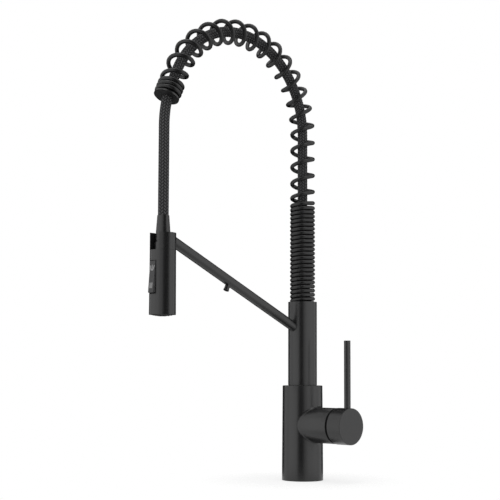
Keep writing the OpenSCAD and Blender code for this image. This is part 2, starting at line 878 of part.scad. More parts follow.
// Stretch of hose along the path, from the riser to the split in the bush: each straight
// piece is a hair thicker than the bends and laps over their ends, and a bore runs past the
// hose at both ends
module arch_run(r, past = 0) {
  upright(r + lap_step, nipple_z - past, arch_z + lap);
  spout_plane() {
    translate([arch_r, arch_z, 0]) rotate(arch_lean)
      rotate_extrude(angle = arch_turn) translate([arch_r, 0]) circle(r = r);
    translate([lean_y, lean_z, 0]) rotate(arch_lean - 90) translate([-lap, 0, 0])
      rotate([0, 90, 0]) cylinder(r = r + lap_step, h = lean_run + 2 * lap);
    translate([drop_y, drop_z, 0]) rotate(split_lean - drop_turn(past))
      rotate_extrude(angle = arch_lean - split_lean + drop_turn(past))
        translate([drop_r, 0]) circle(r = r);
  }
}

// The rest of the hose, down to the spray head
module drop_run(r, past = 0) {
  spout_plane() translate([drop_y, drop_z, 0])
    rotate_extrude(angle = split_lean + drop_turn(past)) translate([drop_r, 0]) circle(r = r);
  at_head() upright(r + lap_step, hose_end_z - past, drop_z + lap);
}

module arch_hose_liner() {
  color("black") difference() {
    arch_run(barb_r + fit + liner_t);
    arch_run(barb_r + fit, over);
  }
}

module arch_hose_braid() {
  color("dimgray") difference() {
    arch_run(hose_r);
    arch_run(hose_r - braid_t, over);
  }
}

module drop_hose_liner() {
  color("black") difference() {
    drop_run(barb_r + fit + liner_t);
    drop_run(barb_r + fit, over);
  }
}

module drop_hose_braid() {
  color("dimgray") difference() {
    drop_run(hose_r);
    drop_run(hose_r - braid_t, over);
  }
}

// ---- arm and dock ----

module arm_tube() {
  color("dimgray") difference() {
    along_arm() cylinder(r = arm_r, h = reach / cos(arm_slope));
    along_arm(-over) cylinder(r = arm_core_r + fit, h = reach / cos(arm_slope) + 2 * over);
    upright(riser_r + fit, riser_z, riser_top);
    at_head() upright(dock_r + fit, dock_z - dock_h, dock_z + 2 * dock_h);
    along_arm(lock_at / cos(arm_slope)) rotate([90, 0, 0]) cylinder(r = lock_r + fit, h = arm_d);
  }
}

// The rod inside the arm, coped to a blind seat in the dock's wall
module core_rod(extra) {
  difference() {
    along_arm(arm_core_start) cylinder(r = arm_core_r + extra, h = reach / cos(arm_slope)
                                       - arm_core_start);
    at_head() upright(arm_core_cope - extra, dock_z - dock_h, dock_z + 2 * dock_h);
  }
}

module arm_core() {
  color("silver") core_rod(0);
}

module arm_lock_screw() {
  rim = 1.6;
  color("dimgray") along_arm(lock_at / cos(arm_slope)) rotate([90, 0, 0]) {
    upright(lock_r, arm_core_r, arm_r + over);
    difference() {
      union() {
        upright(lock_head_d / 2 - 0.3, arm_r - over, arm_r + lock_head_len);
        upright(lock_head_d / 2, arm_r + lock_head_len - rim, arm_r + lock_head_len);
      }
      rotate([-90, 0, 0]) translate([0, 0, -arm_d]) cylinder(r = arm_r + fit, h = 2 * arm_d);
    }
  }
}

// A ring open towards the front, so the hose can be lifted out
module open_ring(r, bore) {
  at_head() difference() {
    pipe(r, bore, dock_z, dock_z + dock_h);
    translate([-slot_w / 2, -r - over, dock_z - over]) cube([slot_w, r + over, dock_h + 2 * over]);
  }
}

module dock_ring() {
  color("dimgray") difference() {
    open_ring(dock_r, dock_bore_r);
    core_rod(fit);
  }
}

module dock_liner() {
  color("black") open_ring(dock_bore_r - fit, liner_r);
}

// ---- hose end ----

module hose_cone() {
  color("dimgray") at_head() difference() {
    translate([0, 0, cone_z]) cylinder(r1 = cone_d / 2, r2 = cone_top_d / 2, h = cone_h);
    upright(hose_r + fit, cone_z - over, cone_top + over);
    upright(hose_r + ferrule_t + 2 * fit, cone_z - over, hose_end_z + ferrule_len);
  }
}

module upper_ferrule() {
  color("silver") at_head()
    pipe(hose_r + fit + ferrule_t, hose_r + fit, hose_end_z, hose_end_z + ferrule_len);
}

module swivel_nipple() {
  color("goldenrod") at_head() difference() {
    union() {
      upright(shoulder_r, inlet_z + 0.1, inlet_z + shoulder_h);
      upright(nipple_stem_r, inlet_z + shoulder_h - over, neck_z + over);
      upright(groove_r, neck_z + 0.1, cone_z);
      upright(hose_r + ferrule_t, cone_z - 0.5, hose_end_z);
      upright(barb_r, cone_z, hose_end_z + barb_len);
    }
    upright(barb_r - 1, inlet_z, hose_end_z + barb_len + over);
    for (z = [inlet_z + 7, neck_z - 4]) translate([0, 0, z - 0.85]) difference() {
      cylinder(r = nipple_stem_r + over, h = 1.7);
      cylinder(r = nipple_stem_r - 1.5, h = 1.7);
    }
  }
}

module nipple_o_rings() {
  section_r = 0.75;
  color("black") at_head() for (z = [inlet_z + 7, neck_z - 4])
    o_ring(nipple_stem_r - section_r, section_r, z);
}

// ---- spray head ----

module head_cone(extra) {
  translate([0, 0, face_z + trim_h])
    cylinder(r1 = head_face_r + extra, r2 = head_top_r + extra, h = head_len - trim_h);
}

module frame_block(extra) {
  translate([-frame_in_w - frame_w - extra, -head_face_r - over,
             rocker_z - frame_in_h - frame_w - extra])
    cube([2 * (frame_in_w + frame_w + extra), head_face_r + over - frame_floor_y + 1 + extra,
          2 * (frame_in_h + frame_w + extra)]);
}

module head_shell() {
  color("dimgray") at_head() difference() {
    head_cone(0);
    upright(cavity_r, face_z, head_top - head_roof);
    upright(neck_r + fit, head_top - head_roof - over, head_top + over);
    frame_block(fit);
  }
}

module head_inlet() {
  color("dimgray") at_head() difference() {
    union() {
      upright(insert_r, inlet_z, head_top - head_roof);
      upright(neck_r, inlet_z, neck_z);
    }
    upright(nipple_stem_r + run_gap, inlet_z - over, neck_z + over);
    upright(shoulder_r + run_gap, inlet_z - over, inlet_z + shoulder_h + 0.1);
  }
}

module filter_washer() {
  color("silver") at_head() pipe(shoulder_r, 1.5, body_top - washer_t - 0.2, body_top - 0.2);
}

module check_valve() {
  color("royalblue") at_head()
    pipe(valve_cup_r, 2, body_top - washer_t - 0.2 - valve_cup_h, body_top - washer_t - 0.2);
}

module diverter_body() {
  cup_top = body_top - washer_t - 0.2;
  color("whitesmoke") at_head() difference() {
    upright(insert_r, body_z, body_top);
    upright(shoulder_r + fit, cup_top, body_top + over);
    upright(valve_cup_r + fit, cup_top - valve_cup_h, body_top);
    // waterway behind the spool, to the spray and stream chambers
    translate([0, 5, 0]) upright(2.4, body_z - over, cup_top - valve_cup_h + 2);
    translate([0, -spool_y, 0])
      upright(spool_r + run_gap, body_z - over, rocker_z + spool_len / 2 + spool_room);
    frame_block(fit);
    // opening for the rocker's arm
    translate([-2.2, -rocker_y, rocker_z - 3.2]) cube([4.4, rocker_y - spool_y, 6.4]);
  }
}

module diverter_spool() {
  tip_z = -tip_arm * sin(rocker_tilt);
  grooves = [tip_z - tip_r - 0.15, -spool_len / 2 + 2, spool_len / 2 - 4];
  color("orange") at_head() translate([0, -spool_y, rocker_z]) difference() {
    upright(spool_r, -spool_len / 2, spool_len / 2);
    for (z = grooves) translate([0, 0, z]) difference() {
      cylinder(r = spool_r + over, h = 2 * tip_r + 0.3);
      cylinder(r = spool_core_r, h = 2 * tip_r + 0.3);
    }
  }
}

// Height of the spray face's dome at a distance from its axis
function dome_z(r) = face_z - face_dome + dome_ball_r - sqrt(dome_ball_r * dome_ball_r - r * r);

// Upright cylinders at the nozzles, from a distance below the domed face up to z1
module at_nozzles(r, below, z1) {
  for (k = [0:nozzles - 1]) rotate(k * 360 / nozzles) translate([outer_ring_r, 0, 0])
    upright(r, dome_z(outer_ring_r) - below, z1);
  for (k = [0:inner_nozzles - 1]) rotate(k * 360 / inner_nozzles) translate([inner_ring_r, 0, 0])
    upright(r, dome_z(inner_ring_r) - below, z1);
}

module nozzle_plate() {
  color("dimgray") at_head() difference() {
    union() {
      upright(insert_r, plate_z, plate_top);
      intersection() {
        upright(insert_r, face_z - face_dome, plate_z);
        translate([0, 0, face_z - face_dome + dome_ball_r]) sphere(r = dome_ball_r);
      }
    }
    upright(aerator_r + fit, face_z - face_dome - over, plate_top + over);
    at_nozzles(nozzle_r + fit, over, plate_top + over);
  }
}

module spray_nozzles() {
  color("dimgray") at_head() difference() {
    union() {
      upright(insert_r - 0.4, plate_top, plate_top + mat_t);
      at_nozzles(nozzle_r, nozzle_rise, plate_top + over);
    }
    upright(aerator_r + fit, plate_top - over, plate_top + mat_t + over);
    at_nozzles(0.3, over, plate_top + mat_t + over);
  }
}

module aerator() {
  top = plate_top + 6;
  color("gray") at_head() difference() {
    upright(aerator_r, face_z - face_dome, top);
    upright(aerator_r - 1, face_z - face_dome - over, face_z + 1);
    for (k = [0:5]) rotate(60 * k) translate([aerator_r * 0.5, 0, 0]) upright(0.8, face_z, top + over);
  }
}

module face_ring() {
  color("dimgray") at_head() difference() {
    upright(head_face_r, face_z, face_z + trim_h);
    upright(insert_r + fit, face_z - over, face_z + trim_h + over);
  }
}

// ---- rocker ----

module button_frame() {
  color("black") at_head() difference() {
    intersection() {
      frame_block(0);
      union() {
        head_cone(0);
        upright(head_top_r, rocker_z, head_top);
      }
    }
    translate([-frame_in_w, -head_face_r - over, rocker_z - frame_in_h])
      cube([2 * frame_in_w, head_face_r + over - frame_floor_y, 2 * frame_in_h]);
    translate([-2.2, -rocker_y, rocker_z - 3.2]) cube([4.4, rocker_y, 6.4]);
    translate([-head_top_r, -rocker_y, rocker_z]) rotate([0, 90, 0])
      cylinder(r = rocker_pin_r + fit, h = head_top_d);
  }
}

module rocker_pin() {
  half = frame_in_w + frame_w - 0.1;
  color("silver") at_head() translate([-half, -rocker_y, rocker_z]) rotate([0, 90, 0])
    cylinder(r = rocker_pin_r, h = 2 * half);
}

// Shown with its lower end out; it tips about the pin by twice the tilt
module rocker_button() {
  half_w = rocker_w / 2;
  half_len = rocker_len / 2;
  corner_r = 0.6;
  color("dimgray") at_head() translate([0, -rocker_y, rocker_z]) rotate([-rocker_tilt, 0, 0])
    difference() {
      union() {
        translate([-half_w, 0, 0]) rotate([90, 0, 90]) linear_extrude(rocker_w)
          offset(r = corner_r, $fn = 24) offset(delta = -corner_r)
            translate([-rocker_out, -half_len]) square([rocker_t, rocker_len]);
        translate([-half_w, 0, 0]) rotate([0, 90, 0]) cylinder(r = rocker_boss_r, h = rocker_w);
        translate([-half_w, -rocker_out + rocker_t - 0.5, -rocker_boss_r])
          cube([rocker_w, rocker_out - rocker_t + 0.5, 2 * rocker_boss_r]);
        translate([-1.5, 0, -tip_r]) cube([3, tip_arm, 2 * tip_r]);
        translate([-1.5, tip_arm, 0]) rotate([0, 90, 0]) cylinder(r = tip_r, h = 3);
      }
      translate([-half_w - over, 0, 0]) rotate([0, 90, 0])
        cylinder(r = rocker_pin_r + run_gap, h = rocker_w + 2 * over);
    }
}

base_gasket();
mounting_ring();
body_shell();
valve_housing();
waterway_core();
cartridge_sleeve();
port_gasket();
cartridge_base();
fixed_disc();
cartridge_case();
cartridge_nut();
trim_dome();
glide_ring();
swivel_stop_screw();
stem_carrier();
stem_pin();
moving_disc();
cartridge_stem();
handle_hub();
lever_rod();
hub_set_screw();
hub_screw_plug();
riser_tube();
swivel_spigot();
swivel_o_rings();
lower_nipple();
lower_ferrule();
arm_anchor();
spring_seat();
guide_tube();
coil_spring();
spring_end_bush();
arch_hose_liner();
arch_hose_braid();
arm_tube();
arm_core();
arm_lock_screw();
dock_ring();
dock_liner();
drop_hose_liner();
drop_hose_braid();
hose_cone();
upper_ferrule();
swivel_nipple();
nipple_o_rings();
head_shell();
head_inlet();
filter_washer();
check_valve();
diverter_body();
diverter_spool();
nozzle_plate();
spray_nozzles();
aerator();
face_ring();
button_frame();
rocker_pin();
rocker_button();
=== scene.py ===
# %% [markdown]
# # A pre rinse faucet in matt black
# This faucet is a tall kitchen tap. A coil spring carries its hose over in an arch, and a slanted
# arm docks the spray head. The measured frame brings every hard part at its true size, so this
# lesson only adds what a frame can't hold: finishes, a round spring wire, a woven hose, soft
# joints in castings, a lit set and a camera.

# %% Load the measured frame
import math

import bmesh
import bpy
from mathutils import Matrix, Vector


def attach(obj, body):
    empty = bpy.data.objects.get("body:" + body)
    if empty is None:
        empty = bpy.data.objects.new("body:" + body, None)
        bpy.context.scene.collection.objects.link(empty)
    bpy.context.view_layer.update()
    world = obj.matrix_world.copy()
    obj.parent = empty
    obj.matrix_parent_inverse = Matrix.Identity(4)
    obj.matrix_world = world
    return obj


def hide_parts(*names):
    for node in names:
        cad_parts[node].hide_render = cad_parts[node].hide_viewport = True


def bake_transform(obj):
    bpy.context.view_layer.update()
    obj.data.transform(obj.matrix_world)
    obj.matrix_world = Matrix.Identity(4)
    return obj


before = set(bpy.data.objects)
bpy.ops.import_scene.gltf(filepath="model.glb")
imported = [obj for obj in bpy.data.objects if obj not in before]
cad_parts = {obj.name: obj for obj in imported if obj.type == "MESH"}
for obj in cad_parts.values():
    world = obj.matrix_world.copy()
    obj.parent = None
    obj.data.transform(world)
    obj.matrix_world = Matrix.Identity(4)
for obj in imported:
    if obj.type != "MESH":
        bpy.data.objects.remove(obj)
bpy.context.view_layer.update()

# %% [markdown]
# ## The camera
# The faucet is seen from its front right, a little above the deck, with a long lens that keeps
# its verticals nearly parallel. A short lens would make the base bulge. The camera looks up by a
# few degrees, and a small lens shift, as on an architect's camera, straightens the verticals more.

# %% Place the camera
CAMERA_PLACE = (1.0368, -1.0944, 0.1366)
CAMERA_PITCH = math.radians(4.65)
CAMERA_YAW = math.radians(45.99)
CAMERA_ROLL = math.radians(-0.2)
LENS_MM, SENSOR_MM, LENS_SHIFT = 85.02, 36.0, 0.05

lens = bpy.data.cameras.new("studio_camera")
lens.lens = LENS_MM
lens.sensor_width = SENSOR_MM
lens.shift_y = LENS_SHIFT
lens.clip_start = 0.05
lens.clip_end = 30.0
camera = bpy.data.objects.new("studio_camera", lens)
camera.location = CAMERA_PLACE
camera.rotation_euler = (math.pi / 2 + CAMERA_PITCH, CAMERA_ROLL, CAMERA_YAW)
bpy.context.scene.collection.objects.link(camera)
bpy.context.scene.camera = camera
bpy.context.scene.view_settings.view_transform = "Standard"
print("camera is", round(Vector(CAMERA_PLACE).length, 3), "m from the base")

# %% [markdown]
# ## Shader maths as plain sums
# A material is a small machine of nodes. Wiring it by hand hides the sum that it works out, so
# one class wraps a node's output and overloads the plus, minus and times signs. The sum
# `0.62 - ridge * 0.14` then builds its own Math nodes.

# %% A value that builds its own Math nodes
class Shade:
    """One output of a node, which can be added, multiplied and compared like a number."""

    def __init__(self, finish, socket):
        self.finish, self.socket = finish, socket

    def maths(self, how, *values):
        return self.finish.node("ShaderNodeMath", {"operation": how}, values)

    def __add__(self, other): return self.maths("ADD", self, other)
    def __sub__(self, other): return self.maths("SUBTRACT", self, other)
    def __rsub__(self, other): return self.maths("SUBTRACT", other, self)
    def __mul__(self, other): return self.maths("MULTIPLY", self, other)
    def __mod__(self, other): return self.maths("FLOORED_MODULO", self, other)
    def __lt__(self, other): return self.maths("LESS_THAN", self, other)
    def floor(self): return self.maths("FLOOR", self)
    def sine(self): return self.maths("SINE", self)


class Finish:
    """A material, with one method that adds any node to it."""

    def __init__(self, name, colour, roughness, metallic=0.0, specular=0.5):
        self.material = bpy.data.materials.new(name)
        self.material.use_nodes = True
        self.tree = self.material.node_tree
        self.shader = self.tree.nodes["Principled BSDF"]
        self.shader.inputs["Base Color"].default_value = (*colour, 1.0)
        self.shader.inputs["Roughness"].default_value = roughness
        self.shader.inputs["Metallic"].default_value = metallic
        self.shader.inputs["Specular IOR Level"].default_value = specular

    def node(self, kind, settings=None, values=(), output=0):
        """Adds a node; values is a list in socket order, or a dictionary of socket names."""
        node = self.tree.nodes.new(kind)
        for name, value in (settings or {}).items():
            setattr(node, name, value)
        pairs = values.items() if isinstance(values, dict) else enumerate(values)
        for key, value in pairs:
            if isinstance(value, Shade):
                self.tree.links.new(value.socket, node.inputs[key])
            else:
                node.inputs[key].default_value = value
        return Shade(self, node.outputs[output])

    def place(self, source="Object"):
        return self.node("ShaderNodeTexCoord", output=source)

    def noise(self, place, scale, detail=3.0):
        return self.node("ShaderNodeTexNoise", None,
                         {"Vector": place, "Scale": scale, "Detail": detail})

    def blend(self, factor, first, second):
        """Mixes two colours by a factor from 0 to 1."""
        node = self.tree.nodes.new("ShaderNodeMix")
        node.data_type = "RGBA"
        for socket, value in zip((node.inputs[0], node.inputs[6], node.inputs[7]),
                                 (factor, first, second)):
            if isinstance(value, Shade):
                self.tree.links.new(value.socket, socket)
            else:
                socket.default_value = (*value, 1.0) if isinstance(value, tuple) else value
        return Shade(self, node.outputs[2])

    def feed(self, name, value):
        self.tree.links.new(value.socket, self.shader.inputs[name])

    def bump(self, height, depth, strength):
        """Height from 0 to 1 becomes a relief of that depth in metres."""
        self.feed("Normal", self.node("ShaderNodeBump", None,
                                      {"Height": height, "Distance": depth,
                                       "Strength": strength}))

print("shader helpers are ready")

# %% [markdown]
# ## The finishes
# Powder coat is sprayed on dry and baked, so it is matt with a very fine orange peel and a faint
# cloudiness in its gloss. A flat black would look like a hole, so a coarse and a fine noise vary
# the colour and the roughness slightly, and the fine one also gives the peel as bump.

# %% Matt black powder coat
def powder_coat(name, dark, light, roughness, grain=1500.0, specular=0.5):
    """A sprayed and baked matt coat: fine peel, cloudy gloss."""
    coat = Finish(name, light, roughness, specular=specular)
    place = coat.place()
    cloud = coat.noise(place, 22.0)
    peel = coat.noise(place, grain, 2.0)
    coat.feed("Base Color", coat.blend(cloud * 0.7 + peel * 0.3, dark, light))
    coat.feed("Roughness", cloud * 0.08 + peel * 0.06 + (roughness - 0.07))
    coat.bump(peel, 0.00004, 0.35)
    return coat.material


black_coat = powder_coat("matt_black_coat", (0.0075, 0.0075, 0.0078),
                         (0.0105, 0.0105, 0.0109), 0.31)
wire_coat = powder_coat("spring_black_coat", (0.007, 0.007, 0.0073),
                        (0.0095, 0.0095, 0.0099), 0.31, 2200.0, 0.36)
print("coats:", black_coat.name, wire_coat.name)

# %% [markdown]
# Moulded plastic copies its mould, so its grain is finer and more even than sprayed paint.
# Rubber is duller still. Turned metal keeps fine rings from the lathe, and a ceramic disc is
# lapped almost to a mirror. These parts mostly hide inside, but each still has its own finish.

# %% Plastics, rubber, metals and ceramic
def moulded(name, dark, light, roughness, grain=2600.0, depth=0.00003, specular=0.5):
    """A moulded plastic or rubber, with the mould's fine even grain."""
    plastic = Finish(name, light, roughness, specular=specular)
    place = plastic.place()
    grains = plastic.noise(place, grain, 1.0)
    cloud = plastic.noise(place, 60.0)
    plastic.feed("Base Color", plastic.blend(grains * 0.5 + cloud * 0.5, dark, light))
    plastic.feed("Roughness", cloud * 0.08 + (roughness - 0.04))
    plastic.bump(grains, depth, 0.3)
    return plastic.material


def turned_metal(name, dark, light, roughness):
    """Bare metal with the fine rings that a lathe tool leaves along Z."""
    metal = Finish(name, light, roughness, 1.0)
    place = metal.place()
    height = metal.node("ShaderNodeSeparateXYZ", None, [place], "Z")
    rings = (height * 9000.0).sine() * 0.5 + 0.5
    smear = metal.noise(place, 300.0)
    metal.feed("Base Color", metal.blend(rings * 0.4 + smear * 0.6, dark, light))
    metal.feed("Roughness", smear * 0.12 + (roughness - 0.06))
    metal.bump(rings, 0.00002, 0.3)
    return metal.material


black_plastic = moulded("satin_black_plastic", (0.011, 0.011, 0.0115), (0.015, 0.015, 0.0157), 0.4)
frame_plastic = moulded("dark_frame_plastic", (0.005, 0.005, 0.0052), (0.008, 0.008, 0.0083), 0.45)
# Painted shade: the trim dome wears near-black with little gloss, standing for the shadowed gap
# round it.
gap_shade_black = moulded("gap_shade_black_polymer", (0.003, 0.003, 0.003), (0.005, 0.005, 0.005), 0.6,
                     specular=0.12)
grey_plastic = moulded("grey_glide_plastic", (0.05, 0.05, 0.05), (0.065, 0.065, 0.065), 0.5)
white_plastic = moulded("white_cartridge_plastic", (0.68, 0.68, 0.65), (0.76, 0.76, 0.73), 0.42)
blue_plastic = moulded("blue_valve_plastic", (0.03, 0.10, 0.42), (0.04, 0.13, 0.5), 0.3)
orange_plastic = moulded("orange_spool_plastic", (0.6, 0.2, 0.02), (0.7, 0.25, 0.03), 0.3)
ceramic = moulded("lapped_ceramic", (0.74, 0.73, 0.7), (0.8, 0.79, 0.76), 0.12, 900.0, 0.000004)
pale_print = moulded("pale_print", (0.3, 0.3, 0.3), (0.36, 0.36, 0.36), 0.5, 3000.0, 0.000004)
rubber = moulded("black_rubber", (0.012, 0.012, 0.012), (0.018, 0.018, 0.018), 0.7, 1800.0)
nozzle_rubber = moulded("nozzle_rubber", (0.02, 0.02, 0.021), (0.028, 0.028, 0.029), 0.6)
brass = turned_metal("turned_brass", (0.62, 0.42, 0.16), (0.74, 0.53, 0.24), 0.28)
steel = turned_metal("turned_steel", (0.5, 0.5, 0.51), (0.62, 0.62, 0.63), 0.26)
print("finishes:", len(bpy.data.materials))

# %% [markdown]
# ## The braid
# The hose wears a jacket of nylon yarn, braided by 24 bobbins: twelve wind to the left, twelve
# to the right, and each passes over two and under two. Real crossing strands would take a million
# faces. Two slanted counters give the same weave on the tube's own UV map instead: u runs once
# round the hose, and v counts strand widths along it. Where the counters sum to 0 or 1 out of 4,
# the right-hand strand lies on top, which makes the herringbone. A strand is highest halfway over
# the two that it crosses, and dips at both ends of that crossing.
# The colour follows the same relief, so the grooves between strands and the dips at each
# crossing's ends are darkened as painted shade.

# %% The braid's material
BRAID_STRANDS = 12
BRAID_PITCH = 0.00373

def braided(name, groove_shade, crest):
    """A woven jacket, from a painted shade between its strands to the yarn's colour on their tops.
    """
    yarn = Finish(name, crest, 0.55, specular=0.12)
    uv = yarn.place("UV")
    around = yarn.node("ShaderNodeSeparateXYZ", None, [uv], "X") * float(BRAID_STRANDS)
    along = yarn.node("ShaderNodeSeparateXYZ", None, [uv], "Y")
    right, left = around + along, around - along
    right_cell, left_cell = right.floor(), left.floor()
    on_top = ((right_cell + left_cell) % 4.0) < 1.5
    under = 1.0 - on_top
    across = on_top * (right - right_cell) + under * (left - left_cell)
    crossing = (on_top * (right_cell + left) + under * (right + left_cell - 2.0)) % 4.0
    middle, halfway = across * 2.0 - 1.0, crossing - 1.0
    ridge = (1.0 - middle * middle) * (1.0 - halfway * halfway)
    threads = (across * (math.tau * 4.0)).sine() * 0.5 + 0.5
    fuzz = yarn.noise(yarn.place(), 2500.0, 1.0)
    relief_and_shade = ridge * (threads * 0.12 + 0.85) + fuzz * 0.03
    # Painted shade: the colour darkens with the relief to near black in the grooves and at the
    # dips.
    yarn.feed("Base Color", yarn.blend(relief_and_shade, groove_shade, crest))
    yarn.feed("Roughness", 0.62 - ridge * 0.14)
    yarn.bump(relief_and_shade, 0.0006, 0.8)
    return yarn.material


# The first colour is painted shade between the strands; the second is the yarn's own grey.
hose_braid = braided("nylon_braid", (0.0005, 0.0005, 0.0005), (0.105, 0.105, 0.108))
print("braid:", BRAID_STRANDS * 2, "strands")

# %% [markdown]
# ## Dress the frame's own parts
# The frame's parts already have the right shape, so most only need their finish. One table says
# which part wears what, so that no part is forgotten.

# %% Give each part of the frame its finish
DRESS = {
    black_coat: ("body_shell", "valve_housing", "handle_hub", "lever_rod", "hub_screw_plug",
                 "riser_tube", "spring_seat", "spring_end_bush", "arm_tube", "arm_lock_screw",
                 "dock_ring", "hose_cone", "head_shell", "head_inlet", "face_ring",
                 "guide_tube", "swivel_nipple"),
    wire_coat: ("coil_spring",),
    brass: ("mounting_ring", "waterway_core", "cartridge_sleeve", "cartridge_nut",
            "swivel_spigot", "lower_nipple", "arm_anchor"),
    steel: ("swivel_stop_screw", "stem_pin", "cartridge_stem", "hub_set_screw", "lower_ferrule",
            "arm_core", "upper_ferrule", "filter_washer", "rocker_pin"),
    ceramic: ("fixed_disc", "moving_disc"),
    rubber: ("base_gasket", "port_gasket", "swivel_o_rings", "nipple_o_rings",
             "arch_hose_liner", "drop_hose_liner"),
    white_plastic: ("cartridge_base", "cartridge_case", "stem_carrier", "diverter_body"),
    # painted shade for the shadowed gap round the trim dome
    gap_shade_black: ("trim_dome",),
    grey_plastic: ("glide_ring",),
    black_plastic: ("nozzle_plate", "rocker_button", "aerator"),
    frame_plastic: ("button_frame", "dock_liner"),
    nozzle_rubber: ("spray_nozzles",),
    hose_braid: ("arch_hose_braid", "drop_hose_braid"),
    blue_plastic: ("check_valve",),
    orange_plastic: ("diverter_spool",),
}
dressed = set()
for material, names in DRESS.items():
    for name in names:
        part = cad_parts[name]
        part.data.materials.clear()
        part.data.materials.append(material)
        dressed.add(name)
print("dressed", len(dressed), "parts; left out:", sorted(set(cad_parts) - dressed))

# %% [markdown]
# ## Helpers for new pieces
# Every new piece starts as a bmesh, the mesh that Blender's modelling tools work on. One helper
# closes it: doubles are merged, faces turn outwards, flat shading stays only at real edges, and
# the piece is tied to the body that it moves with. Three more spin an outline, lengthen a tube by
# one ring and round off a block's edges.

# %% Finish a bmesh as a piece of the faucet
MM = 0.001
SHARP = math.radians(38)

def make_piece(name, shape, material, body, instead_of=()):
    """Turns a bmesh into a piece that rides on a body, or that is left without one."""
    bmesh.ops.remove_doubles(shape, verts=shape.verts, dist=1e-7)
    bmesh.ops.recalc_face_normals(shape, faces=shape.faces)
    mesh = bpy.data.meshes.new(name)
    shape.to_mesh(mesh)
    shape.free()
    mesh.shade_smooth()
    mesh.set_sharp_from_angle(angle=SHARP)
    mesh.materials.append(material)
    piece = bpy.data.objects.new(name, mesh)
    bpy.context.scene.collection.objects.link(piece)
    if body:
        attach(piece, body)
    if instead_of:
        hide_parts(*instead_of)
    print(f"{name}: {len(mesh.polygons)} faces")
    return piece


def turned_shape(outline, steps):
    """Spins a closed outline of (radius, height) points, in millimetres, round the Z axis."""
    shape = bmesh.new()
    corners = [shape.verts.new((radius * MM, 0.0, height * MM)) for radius, height in outline]
    edges = [shape.edges.new((a, b)) for a, b in zip(corners, corners[1:] + corners[:1])]
    bmesh.ops.spin(shape, geom=corners + edges, cent=(0, 0, 0), axis=(0, 0, 1),
                   angle=math.tau, steps=steps, use_merge=True)
    return shape


def extruded_ring(shape, ring, edges):
    """Extrudes a loose ring of edges and returns the new ring in the old order."""
    grown = bmesh.ops.extrude_edge_only(shape, edges=edges)["geom"]
    fresh = {v.co.copy().freeze(): v for v in grown if isinstance(v, bmesh.types.BMVert)}
    ring = [fresh[v.co.copy().freeze()] for v in ring]
    members = set(ring)
    return ring, [e for e in grown if isinstance(e, bmesh.types.BMEdge)
                  and members.issuperset(e.verts)]


def soften(shape, edges, size, steps):
    """Rounds some edges of a shape with a bevel of a size in millimetres."""
    bmesh.ops.bevel(shape, geom=edges, offset=size * MM, segments=steps, profile=0.5,
                    affect="EDGES", material=-1, clamp_overlap=True)

print("modelling helpers are ready")

# %% [markdown]
# ## The route of the hose
# The hose climbs the riser, bends over in almost a half circle, runs straight for a little inside
# the spring's end bush, and eases back to upright as it falls to the spray head. A route is
# easiest to follow by the distance travelled along it, so one function turns a distance into a
# point and an angle. Everything on the route, the braid and the spring alike, then uses the same
# function.

# %% Follow the hose by the distance along it
REACH = 232.0
ARCH_Z = 439.3
LEAN = math.radians(24.5)
LEAN_RUN = 16.0
DROP_R = 125.0
HOSE_FOOT = 142.35
HOSE_HEAD = 286.2
ARCH_R = ((REACH - LEAN_RUN * math.sin(LEAN) - DROP_R * (1 - math.cos(LEAN)))
          / (1 + math.cos(LEAN)))
ARCH_TURN = math.pi - LEAN
ARCH_LEN = ARCH_R * ARCH_TURN

def heading(turn):
    """Unit vector of the route after it has turned over by an angle from upright."""
    return Vector((0.0, -math.sin(turn), math.cos(turn)))


def arch_point(turn):
    return Vector((0.0, -ARCH_R * (1 - math.cos(turn)), ARCH_Z + ARCH_R * math.sin(turn)))


def hose_at(distance):
    """Point and turned angle of the hose at a distance past the arch's start, in millimetres."""
    if distance < 0:
        return Vector((0.0, 0.0, ARCH_Z + distance)), 0.0
    if distance < ARCH_LEN:
        turn = distance / ARCH_R
        return arch_point(turn), turn
    past = distance - ARCH_LEN
    lean_end = arch_point(ARCH_TURN) + heading(ARCH_TURN) * min(past, LEAN_RUN)
    past -= LEAN_RUN
    if past < 0:
        return lean_end, ARCH_TURN
    drop_centre_y = -(REACH - DROP_R)
    drop_centre_z = lean_end.z - DROP_R * math.sin(LEAN)
    lean = max(LEAN - past / DROP_R, 0.0)
    point = Vector((0.0, drop_centre_y - DROP_R * math.cos(lean),
                    drop_centre_z + DROP_R * math.sin(lean)))
    point.z -= max(past - DROP_R * LEAN, 0.0)
    return point, math.pi - lean


hose_length = ARCH_LEN + LEAN_RUN + DROP_R * LEAN
hose_length += hose_at(hose_length)[0].z - HOSE_HEAD
print("arch radius", round(ARCH_R, 1), "mm; hose beyond the riser", round(hose_length), "mm")

# %% [markdown]
# ## The woven hose
# A tube along a route is a ring of points, extruded step by step and set down square to the
# route each time. The ring's points also swell and sink with the weave, so the braid's outline
# is knobbly and not only painted. The tube is split in the spring's end bush, because the lower
# part stretches when the spray head is pulled out. Its ends are out of sight: one is inside the
# riser, and the other is inside the cone above the spray head.

# %% Weave the hose in two lengths
HOSE_R = 6.2
RELIEF = 0.4
RING_POINTS = 80
RING_STEP = 1.1
SPLIT_LEAN = math.radians(17.0)
BRAID_START = HOSE_FOOT - ARCH_Z + 60.0
BRAID_SPLIT = ARCH_LEN + LEAN_RUN + DROP_R * (LEAN - SPLIT_LEAN)
BRAID_END = hose_length + 8.0

def weave_height(around, along):
    """The braid's relief, 0 to 1, from the same two counters as its material."""
    right, left = BRAID_STRANDS * around + along, BRAID_STRANDS * around - along
    on_top = (math.floor(right) + math.floor(left)) % 4 < 1.5
    across = right % 1.0 if on_top else left % 1.0
    crossing = (math.floor(right) + left if on_top else right + math.floor(left) - 2) % 4
    return (1.0 - (2.0 * across - 1.0) ** 2) * (1.0 - (crossing - 1.0) ** 2)


